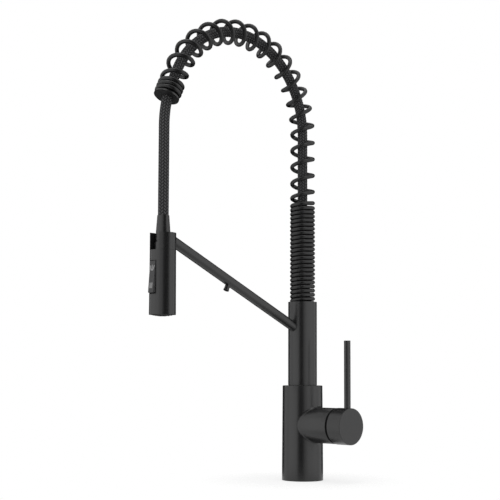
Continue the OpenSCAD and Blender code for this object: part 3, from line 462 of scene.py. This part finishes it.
def woven_tube(start, end):
    """A braided tube between two distances along the hose."""
    shape = bmesh.new()
    uv_layer = shape.loops.layers.uv.new("UVMap")
    count = round((end - start) / RING_STEP)
    ring = bmesh.ops.create_circle(shape, segments=RING_POINTS, radius=1.0)["verts"]
    flat = [v.co.copy() for v in ring]
    turns = [(math.atan2(p.y, p.x) / math.tau) % 1.0 for p in flat]
    edges = list(shape.edges)
    measures = {}
    for i in range(count + 1):
        distance = start + (end - start) * i / count
        if i:
            ring, edges = extruded_ring(shape, ring, edges)
        centre, turn = hose_at(distance)
        tip = Matrix.Translation(centre * MM) @ Matrix.Rotation(turn, 4, "X")
        along = distance * MM / BRAID_PITCH
        for vertex, point, around in zip(ring, flat, turns):
            radius = (HOSE_R + RELIEF * (weave_height(around, along) - 0.5)) * MM
            vertex.co = tip @ (point * radius)
            measures[vertex] = (around, along)
    for face in shape.faces:
        rounds = [measures[loop.vert][0] for loop in face.loops]
        wraps = max(rounds) - min(rounds) > 0.5
        for loop, around in zip(face.loops, rounds):
            seam = 1.0 if wraps and around < 0.5 else 0.0
            loop[uv_layer].uv = (around + seam, measures[loop.vert][1])
    return shape


make_piece("arch_braid", woven_tube(BRAID_START, BRAID_SPLIT), hose_braid, "riser",
           ["arch_hose_braid"])
drop_braid = make_piece("drop_braid", woven_tube(BRAID_SPLIT, BRAID_END), hose_braid, None,
                        ["drop_hose_braid"])

# %% [markdown]
# ## The coil spring
# The spring is one wire wound from bottom to top: close coils stand on the riser, open coils
# follow the arch, and a few close coils grip the end bush. A curve with a round bevel is made for
# this. Its points come from two counters, the turns wound so far and the length climbed by them.

# %% Wind the spring
WIRE_R = 2.58
COIL_R = 13.44
STRAIGHT_END = 4.8
END_PROBE = 0.02
SPRING_FOOT = 221.6
WIRE_START = math.radians(280.6)
CLOSE_TURNS, OPEN_TURNS, COLLAR_TURNS = 23.8, 20.2, 2.7
CLOSE_PITCH, COLLAR_PITCH = 5.3, 5.3
OPEN_RAMP, COLLAR_RAMP = 1.8, 0.5
COLLAR_RUN = 31.5
COIL_STEPS = 26
BEND_AT = ARCH_Z - SPRING_FOOT
COIL_LEN = BEND_AT + ARCH_LEN + COLLAR_RUN
TURNS = CLOSE_TURNS + OPEN_TURNS + COLLAR_TURNS
OPEN_LEN = COIL_LEN - CLOSE_TURNS * CLOSE_PITCH - COLLAR_TURNS * COLLAR_PITCH
OPEN_PITCH = ((OPEN_LEN - (OPEN_RAMP * CLOSE_PITCH + COLLAR_RAMP * COLLAR_PITCH) / 2)
              / (OPEN_TURNS - (OPEN_RAMP + COLLAR_RAMP) / 2))

def climbed(turns):
    """Length along the coil's axis after a number of turns."""
    into = turns - CLOSE_TURNS
    left = OPEN_TURNS - into
    if into < 0:
        return turns * CLOSE_PITCH
    if left < 0:
        return COIL_LEN - (COLLAR_TURNS + left) * COLLAR_PITCH
    ramp = min(into, OPEN_RAMP)
    length = CLOSE_TURNS * CLOSE_PITCH + CLOSE_PITCH * ramp
    length += (OPEN_PITCH - CLOSE_PITCH) * ramp * ramp / (2 * OPEN_RAMP)
    if left > COLLAR_RAMP:
        return length + max(into - OPEN_RAMP, 0.0) * OPEN_PITCH
    eased = COLLAR_PITCH * left + (OPEN_PITCH - COLLAR_PITCH) * left * left / (2 * COLLAR_RAMP)
    return COIL_LEN - COLLAR_TURNS * COLLAR_PITCH - eased


def wire_at(turns):
    """Centre of the wire after a number of turns, in millimetres."""
    length = climbed(turns) - BEND_AT
    turn = min(max(length / ARCH_R, 0.0), ARCH_TURN)
    centre = hose_at(min(length, ARCH_LEN))[0]
    centre = centre + heading(turn) * max(length - ARCH_LEN, 0.0)
    angle = WIRE_START + math.tau * turns
    out = Matrix.Rotation(turn, 3, "X") @ Vector((math.cos(angle), math.sin(angle), 0.0))
    return centre + out * COIL_R


def wire_points():
    """Points along the wire, whose two ends run out straight."""
    steps = round(TURNS * COIL_STEPS)
    points = [wire_at(TURNS * i / steps) for i in range(steps + 1)]
    first, last = points[0] - wire_at(END_PROBE), points[-1] - wire_at(TURNS - END_PROBE)
    points.insert(0, points[0] + first.normalized() * STRAIGHT_END)
    points.append(points[-1] + last.normalized() * STRAIGHT_END)
    return points


def wound_wire(name, points, radius):
    """A round wire through points, as a mesh."""
    curve = bpy.data.curves.new(name + "_path", "CURVE")
    curve.dimensions = "3D"
    curve.bevel_depth = radius * MM
    curve.bevel_resolution = 4
    curve.use_fill_caps = True
    line = curve.splines.new("POLY")
    line.points.add(len(points) - 1)
    for spot, point in zip(line.points, points):
        spot.co = (*(point * MM), 1.0)
    holder = bpy.data.objects.new(name + "_path", curve)
    bpy.context.scene.collection.objects.link(holder)
    bpy.context.view_layer.update()
    solid = bmesh.new()
    solid.from_mesh(holder.evaluated_get(bpy.context.evaluated_depsgraph_get()).to_mesh())
    bpy.data.objects.remove(holder)
    bpy.data.curves.remove(curve)
    return solid


make_piece("wound_spring", wound_wire("wound_spring", wire_points(), WIRE_R), wire_coat,
           "riser", ["coil_spring"])
print("open coils climb", round(OPEN_PITCH, 2), "mm a turn")

# %% [markdown]
# ## The body casting
# The base and its side housing are one casting, so their joint is a soft hollow and not a crease.
# A ball rolled along the corner gives that hollow: its centre keeps the same distance from both
# cylinders, and it touches each along a line. A circle is extruded along the housing, then its
# last rings are set down on the rolling ball, from one line of touch to the other.

# %% Cast the body
BASE_R, BASE_TOP_R, BASE_H, ROOF_Z = 25.98, 25.24, 118.6, 115.6
CORE_R, SPIGOT_HOLE = 22.3, 15.4
VALVE_Z, HOUSING_R, HOUSING_BORE, HOUSING_END = 69.4, 22.1, 18.75, 58.0
BORE_DEPTH = 12.0
FILLET, FILLET_STEPS = 3.2, 10
BASE_POINTS = HOUSING_POINTS = 160
FOOT_EDGE, TOP_EDGE, RIM = 0.12, 0.8, 0.35
HAIR = 1e-9

def base_radius(height):
    return BASE_R + (BASE_TOP_R - BASE_R) * height / (BASE_H - TOP_EDGE)


def rolled_ring(angle, share):
    """Point on the rolled hollow at an angle round the housing; share runs from 0 to 1."""
    height = VALVE_Z + (HOUSING_R + FILLET) * math.cos(angle)
    side = (HOUSING_R + FILLET) * math.sin(angle)
    reach = base_radius(height) + FILLET
    centre = Vector((math.sqrt(reach * reach - side * side), side, height))
    to_housing = Vector((0.0, -math.sin(angle), -math.cos(angle)))
    to_base = Vector((-centre.x, -centre.y, 0.0)).normalized()
    opening = to_housing.angle(to_base)
    weights = (math.sin((1 - share) * opening), math.sin(share * opening))
    toward = (to_housing * weights[0] + to_base * weights[1]) / math.sin(opening)
    return centre + toward * FILLET


def cast_body():
    """The base and its housing as one shape; a hair of height keeps the rings' points apart."""
    outline = [(CORE_R, 0.0), (BASE_R - FOOT_EDGE, 0.0), (BASE_R, FOOT_EDGE)]
    outline += [(base_radius(h), h) for h in (40.0, 80.0)]
    outline += [(BASE_TOP_R, BASE_H - TOP_EDGE),
                (BASE_TOP_R - TOP_EDGE * 0.3, BASE_H - TOP_EDGE * 0.3),
                (BASE_TOP_R - TOP_EDGE, BASE_H), (SPIGOT_HOLE, BASE_H),
                (SPIGOT_HOLE, ROOF_Z), (CORE_R, ROOF_Z)]
    shape = turned_shape(outline, BASE_POINTS)
    ring = bmesh.ops.create_circle(shape, segments=HOUSING_POINTS, radius=1.0)["verts"]
    angles = [math.tau * i / HOUSING_POINTS for i in range(HOUSING_POINTS)]
    members = set(ring)
    edges = [e for e in shape.edges if members.issuperset(e.verts)]
    rounds = [(HOUSING_END - BORE_DEPTH, HOUSING_BORE), (HOUSING_END - RIM, HOUSING_BORE),
              (HOUSING_END, HOUSING_BORE + RIM), (HOUSING_END, HOUSING_R - RIM),
              (HOUSING_END - RIM * 0.3, HOUSING_R - RIM * 0.3), (HOUSING_END - RIM, HOUSING_R)]
    rings = [[Vector((x, r * math.sin(a), VALVE_Z + r * math.cos(a))) for a in angles]
             for x, r in rounds]
    rings += [[rolled_ring(a, step / FILLET_STEPS) for a in angles]
              for step in range(FILLET_STEPS + 1)]
    for i, places in enumerate(rings):
        if i:
            ring, edges = extruded_ring(shape, ring, edges)
        for vertex, place in zip(ring, places):
            vertex.co = place * MM + Vector((0, 0, i * HAIR))
    return shape


make_piece("body_casting", cast_body(), black_coat, "valve_body",
           ["body_shell", "valve_housing"])

# %% [markdown]
# ## The rocker button
# A thumb wants a soft edge, so the rocker is a plate whose edges are all rounded by a bevel. It
# is modelled flat, then tipped and moved to its pivot as a last step, so that its sizes stay easy
# to read. Two small prints show what each end does: a fan of rays for the spray, and straight
# strokes for the stream.

# %% Mould the rocker and print its signs
ROCKER_PIVOT = (0.0, -243.55, 242.6)
ROCKER_TIP = math.radians(-4.4)
ROCKER_W, ROCKER_LEN, ROCKER_T, ROCKER_OUT = 9.7, 36.8, 3.4, 5.0
ROCKER_EDGE = 0.9
KEY_HALF, KEY_END, KEY_SINK = 1.5, 5.2, 0.5
HUB_R, HUB_GAP = 2.2, 0.1
INK = 0.02
ROUND_STEPS = 5

def seat_rocker(shape):
    """Tips a flat shape, whose front faces -Y, and moves it to the rocker's pivot."""
    seat = Matrix.Translation(Vector(ROCKER_PIVOT) * MM) @ Matrix.Rotation(ROCKER_TIP, 4, "X")
    bmesh.ops.transform(shape, matrix=seat, verts=shape.verts)
    return shape


def block(shape, low, high):
    """Adds a box between two corners, in millimetres."""
    size = Vector(high) - Vector(low)
    place = Matrix.Translation((Vector(low) + size / 2) * MM) @ Matrix.Diagonal((*(size * MM), 1))
    bmesh.ops.create_cube(shape, size=1.0, matrix=place)


rocker_shape = bmesh.new()
rocker_back = ROCKER_T - ROCKER_OUT
block(rocker_shape, (-ROCKER_W / 2, -ROCKER_OUT, -ROCKER_LEN / 2),
      (ROCKER_W / 2, rocker_back, ROCKER_LEN / 2))
soften(rocker_shape, list(rocker_shape.edges), ROCKER_EDGE, ROUND_STEPS)
block(rocker_shape, (-KEY_HALF, rocker_back - KEY_SINK, -HUB_R), (KEY_HALF, KEY_END, HUB_R))
bmesh.ops.create_cone(rocker_shape, cap_ends=True, segments=48, radius1=HUB_R * MM,
                      radius2=HUB_R * MM, depth=(ROCKER_W - HUB_GAP) * MM,
                      matrix=Matrix.Rotation(math.pi / 2, 4, "Y"))
make_piece("rocker_cap", seat_rocker(rocker_shape), black_plastic, "rocker",
           ["rocker_button"])


def ray(shape, base, lean, length, width):
    """Adds one thin printed stroke that starts at a point and leans by an angle."""
    made = bmesh.new()
    block(made, (-width / 2, -INK, 0.0), (width / 2, INK, length))
    corners = [e for e in made.edges if abs((e.verts[0].co - e.verts[1].co).y) > 1e-6]
    soften(made, corners, width * 0.49, ROUND_STEPS)
    turn = Matrix.Translation(Vector((base[0], -ROCKER_OUT - INK / 2, base[1])) * MM)
    bmesh.ops.transform(made, matrix=turn @ Matrix.Rotation(math.radians(lean), 4, "Y"),
                        verts=made.verts)
    stroke = bpy.data.meshes.new("stroke")
    made.to_mesh(stroke)
    made.free()
    shape.from_mesh(stroke)
    bpy.data.meshes.remove(stroke)


signs = bmesh.new()
for lean in (-24.0, 0.0, 24.0):
    ray(signs, (lean * 0.05, 6.8), lean, 6.6, 1.2)
for side in (-1.9, 0.0, 1.9):
    ray(signs, (side, -13.4), 0.0, 6.4, 1.1)
make_piece("rocker_signs", seat_rocker(signs), pale_print, "rocker")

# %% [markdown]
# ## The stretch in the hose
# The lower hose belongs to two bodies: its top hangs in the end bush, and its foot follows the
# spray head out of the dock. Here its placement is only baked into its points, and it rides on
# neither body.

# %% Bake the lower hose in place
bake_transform(drop_braid)

# %% [markdown]
# ## The set
# Matt black shows only what it reflects. A white surround gives its sides an even grey, and black
# flags, as photographers call dark boards, draw the dark lines: a narrow one close in front makes
# the stripe down each tube, and two far at the back darken its outlines. The flags are for
# reflections only, so they throw no shade and the camera never sees them.

# %% Surround and floor
def any_ray(tree, *names):
    """A factor that is 1 for each of the named kinds of ray."""
    path = tree.nodes.new("ShaderNodeLightPath")
    total = path.outputs[names[0]]
    for name in names[1:]:
        larger = tree.nodes.new("ShaderNodeMath")
        larger.operation = "MAXIMUM"
        tree.links.new(total, larger.inputs[0])
        tree.links.new(path.outputs[name], larger.inputs[1])
        total = larger.outputs[0]
    return total


def mixed(tree, factor, first, second):
    mix = tree.nodes.new("ShaderNodeMixShader")
    for socket, value in zip(mix.inputs, (factor, first, second)):
        tree.links.new(value, socket)
    return mix.outputs[0]


SEEN = ("Is Camera Ray", "Is Glossy Ray", "Is Transmission Ray")
WHITE = (1.0, 1.0, 1.0, 1.0)
AMBIENT, FLOOR_GLOW = 0.55, 0.74
FLOOR_R, FADE_FROM = 0.13, 0.55

sky = bpy.data.worlds.new("studio_sky")
bpy.context.scene.world = sky
sky.use_nodes = True
ambient = sky.node_tree.nodes["Background"]
ambient.inputs["Color"].default_value = WHITE
ambient.inputs["Strength"].default_value = AMBIENT
seen = sky.node_tree.nodes.new("ShaderNodeBackground")
seen.inputs["Color"].default_value = WHITE
seen.inputs["Strength"].default_value = 1.0
sky.node_tree.links.new(mixed(sky.node_tree, any_ray(sky.node_tree, *SEEN), ambient.outputs[0],
                              seen.outputs[0]),
                        sky.node_tree.nodes["World Output"].inputs["Surface"])

floor_shape = bmesh.new()
bmesh.ops.create_circle(floor_shape, cap_ends=True, segments=96, radius=FLOOR_R)
floor_mesh = bpy.data.meshes.new("floor")
floor_shape.to_mesh(floor_mesh)
floor_shape.free()
floor = bpy.data.objects.new("floor", floor_mesh)
floor.location = (0.0, 0.0, -0.0002)
bpy.context.scene.collection.objects.link(floor)
paint = Finish("pale_floor", (0.3, 0.3, 0.3), 0.9, specular=0.0)
floor_mesh.materials.append(paint.material)
tree = paint.tree
glow = tree.nodes.new("ShaderNodeEmission")
glow.inputs["Strength"].default_value = FLOOR_GLOW
nothing = tree.nodes.new("ShaderNodeEmission")
nothing.inputs["Strength"].default_value = 0.0
lit = tree.nodes.new("ShaderNodeAddShader")
tree.links.new(mixed(tree, any_ray(tree, *SEEN), nothing.outputs[0], glow.outputs[0]),
               lit.inputs[0])
tree.links.new(paint.shader.outputs[0], lit.inputs[1])
clear = tree.nodes.new("ShaderNodeBsdfTransparent")
reach_out = paint.node("ShaderNodeVectorMath", {"operation": "LENGTH"}, [paint.place()], "Value")
fade = paint.node("ShaderNodeMapRange", None,
                  [reach_out, FLOOR_R * FADE_FROM, FLOOR_R, 0.0, 1.0])
tree.links.new(mixed(tree, fade.socket, lit.outputs[0], clear.outputs[0]),
               tree.nodes["Material Output"].inputs["Surface"])
print("set: surround and floor")

# %% Softboxes and flags
SET_CENTRE = Vector((0.0, -0.1, 0.27))

def aimed(name, data, degrees, distance, rise):
    """Stands a light or a board at an angle from the camera's own bearing, aimed at the faucet."""
    bearing = CAMERA_YAW - math.pi / 2 + math.radians(degrees)
    thing = bpy.data.objects.new(name, data)
    thing.location = SET_CENTRE + Vector((math.cos(bearing) * distance,
                                          math.sin(bearing) * distance, rise))
    thing.rotation_euler = (SET_CENTRE - thing.location).to_track_quat("-Z", "Y").to_euler()
    bpy.context.scene.collection.objects.link(thing)
    return thing


def softbox(name, degrees, distance, rise, width, tall, power):
    """A large soft light; sizes are in metres and power is in watts."""
    light = bpy.data.lights.new(name, "AREA")
    light.shape = "RECTANGLE"
    light.size, light.size_y = width, tall
    light.energy = power
    aimed(name, light, degrees, distance, rise)


def flag(name, degrees, distance, width, tall):
    """A dull black board that only reflections can see."""
    shape = bmesh.new()
    bmesh.ops.create_grid(shape, x_segments=1, y_segments=1, size=0.5,
                          matrix=Matrix.Diagonal((width, tall, 1.0, 1.0)))
    board = bpy.data.meshes.new(name)
    shape.to_mesh(board)
    shape.free()
    board.materials.append(flag_cloth.material)
    thing = aimed(name, board, degrees, distance, 0.0)
    thing.visible_camera = thing.visible_diffuse = thing.visible_shadow = False


flag_cloth = Finish("black_flag_cloth", (0.002, 0.002, 0.002), 1.0, specular=0.0)
softbox("left_softbox", -58.0, 1.6, 0.1, 1.9, 2.4, 7.0)
softbox("right_softbox", 58.0, 1.6, 0.1, 1.9, 2.4, 7.0)
softbox("top_softbox", 0.0, 0.5, 1.7, 1.2, 1.2, 8.0)
flag("near_flag", 2.2, 0.21, 0.18, 1.4)
flag("left_back_flag", -155.0, 2.4, 2.3, 5.0)
flag("right_back_flag", 155.0, 2.4, 2.3, 5.0)
